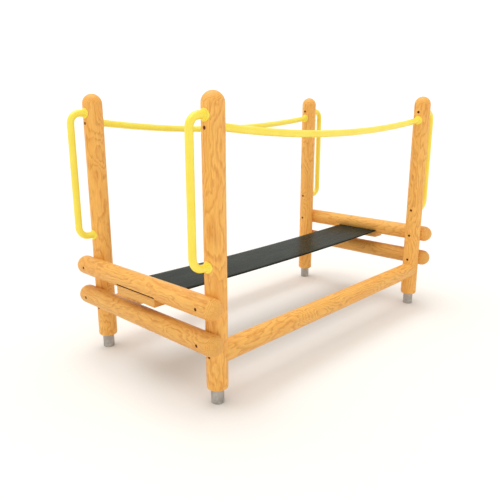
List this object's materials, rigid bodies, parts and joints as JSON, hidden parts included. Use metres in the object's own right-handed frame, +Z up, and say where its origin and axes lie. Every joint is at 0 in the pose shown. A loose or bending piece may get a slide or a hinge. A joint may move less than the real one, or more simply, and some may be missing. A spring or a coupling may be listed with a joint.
{
  "type": "playground belt bridge",
  "caption": "Playground belt bridge: round timber frame on steel feet, a rubber walking belt clamped under the end beams, tubular handrails and grab handles.",
  "frame": {"origin": "on the ground, under the middle of the bridge", "axes": "+X along the walkway from end a to end b, +Y to the left of someone who walks that way, +Z up"},
  "size_m": [2.5324, 1.31, 1.655],
  "materials": {
    "pine": "satin oiled",
    "yellow_coating": "gloss powder coat",
    "belt_rubber": "matt, fine grain",
    "galvanised_steel": "dull galvanised",
    "fastener_steel": "satin zinc",
    "cap_plastic": "matt"
  },
  "bodies": {
    "frame": {"batten_screws_a": "fastener_steel", "batten_screws_b": "fastener_steel", "batten_washers_a": "fastener_steel", "batten_washers_b": "fastener_steel", "beam_bolts_a": "fastener_steel", "beam_bolts_b": "fastener_steel", "beam_nuts_a": "fastener_steel", "beam_nuts_b": "fastener_steel", "belt_end_a": "belt_rubber", "belt_end_b": "belt_rubber", "clamp_batten_a": "pine", "clamp_batten_b": "pine", "foot_a_left": "galvanised_steel", "foot_a_right": "galvanised_steel", "foot_b_left": "galvanised_steel", "foot_b_right": "galvanised_steel", "grab_handle_a_left": "yellow_coating", "grab_handle_a_right": "yellow_coating", "grab_handle_b_left": "yellow_coating", "grab_handle_b_right": "yellow_coating", "handle_bolts_a": "fastener_steel", "handle_bolts_b": "fastener_steel", "handle_flanges_a": "yellow_coating", "handle_flanges_b": "yellow_coating", "handrail_bolts": "fastener_steel", "handrail_flanges": "yellow_coating", "handrail_left": "yellow_coating", "handrail_right": "yellow_coating", "inner_bolt_caps_a": "cap_plastic", "inner_bolt_caps_b": "cap_plastic", "lower_beam_a": "pine", "lower_beam_b": "pine", "outer_bolt_caps_a": "cap_plastic", "outer_bolt_caps_b": "cap_plastic", "post_a_left": "pine", "post_a_right": "pine", "post_b_left": "pine", "post_b_right": "pine", "side_rail_left": "pine", "side_rail_right": "pine", "side_rail_screws": "fastener_steel", "upper_beam_a": "pine", "upper_beam_b": "pine"},
    "belt_span_1": {"belt_span_1": "belt_rubber"},
    "belt_span_2": {"belt_span_2": "belt_rubber"},
    "belt_span_3": {"belt_span_3": "belt_rubber"},
    "belt_span_4": {"belt_span_4": "belt_rubber"},
    "belt_span_5": {"belt_span_5": "belt_rubber"},
    "belt_span_6": {"belt_span_6": "belt_rubber"},
    "belt_span_7": {"belt_span_7": "belt_rubber"},
    "belt_span_8": {"belt_span_8": "belt_rubber"},
    "belt_slip_b": {"belt_slip_b": "belt_rubber"}
  },
  "joints": [
    {"name": "belt_sag", "type": "hinge", "parent": "frame", "child": "belt_span_1", "pos_m": [-1.124, 0, 0.55], "axis": [0, 1, 0], "range_deg": [-1.3, 9], "stiffness_Nm_per_rad": 2000, "springref_deg": -1.12},
    {"name": "belt_bend_1", "type": "hinge", "parent": "belt_span_1", "child": "belt_span_2", "pos_m": [-0.843, 0, 0.54344], "axis": [0, 1, 0], "range_deg": [-2.58, 0.38]},
    {"name": "belt_bend_2", "type": "hinge", "parent": "belt_span_2", "child": "belt_span_3", "pos_m": [-0.562, 0, 0.53875], "axis": [0, 1, 0], "range_deg": [-2.58, 0.38]},
    {"name": "belt_bend_3", "type": "hinge", "parent": "belt_span_3", "child": "belt_span_4", "pos_m": [-0.281, 0, 0.53594], "axis": [0, 1, 0], "range_deg": [-2.58, 0.38]},
    {"name": "belt_bend_4", "type": "hinge", "parent": "belt_span_4", "child": "belt_span_5", "pos_m": [0, 0, 0.535], "axis": [0, 1, 0], "range_deg": [-2.58, 0.38]},
    {"name": "belt_bend_5", "type": "hinge", "parent": "belt_span_5", "child": "belt_span_6", "pos_m": [0.281, 0, 0.53594], "axis": [0, 1, 0], "range_deg": [-2.58, 0.38]},
    {"name": "belt_bend_6", "type": "hinge", "parent": "belt_span_6", "child": "belt_span_7", "pos_m": [0.562, 0, 0.53875], "axis": [0, 1, 0], "range_deg": [-2.58, 0.38]},
    {"name": "belt_bend_7", "type": "hinge", "parent": "belt_span_7", "child": "belt_span_8", "pos_m": [0.843, 0, 0.54344], "axis": [0, 1, 0], "range_deg": [-2.58, 0.38]},
    {"name": "belt_slip_bend", "type": "hinge", "parent": "belt_span_8", "child": "belt_slip_b", "pos_m": [1.124, 0, 0.55], "axis": [0, 1, 0], "range_deg": [-1.31, 9.01]}
  ],
  "couplings": [
    {"joint": "belt_bend_1", "follows": "belt_sag", "ratio": -0.28571},
    {"joint": "belt_bend_2", "follows": "belt_sag", "ratio": -0.28571},
    {"joint": "belt_bend_3", "follows": "belt_sag", "ratio": -0.28571},
    {"joint": "belt_bend_4", "follows": "belt_sag", "ratio": -0.28571},
    {"joint": "belt_bend_5", "follows": "belt_sag", "ratio": -0.28571},
    {"joint": "belt_bend_6", "follows": "belt_sag", "ratio": -0.28571},
    {"joint": "belt_bend_7", "follows": "belt_sag", "ratio": -0.28571},
    {"joint": "belt_slip_bend", "follows": "belt_sag", "ratio": 1}
  ]
}
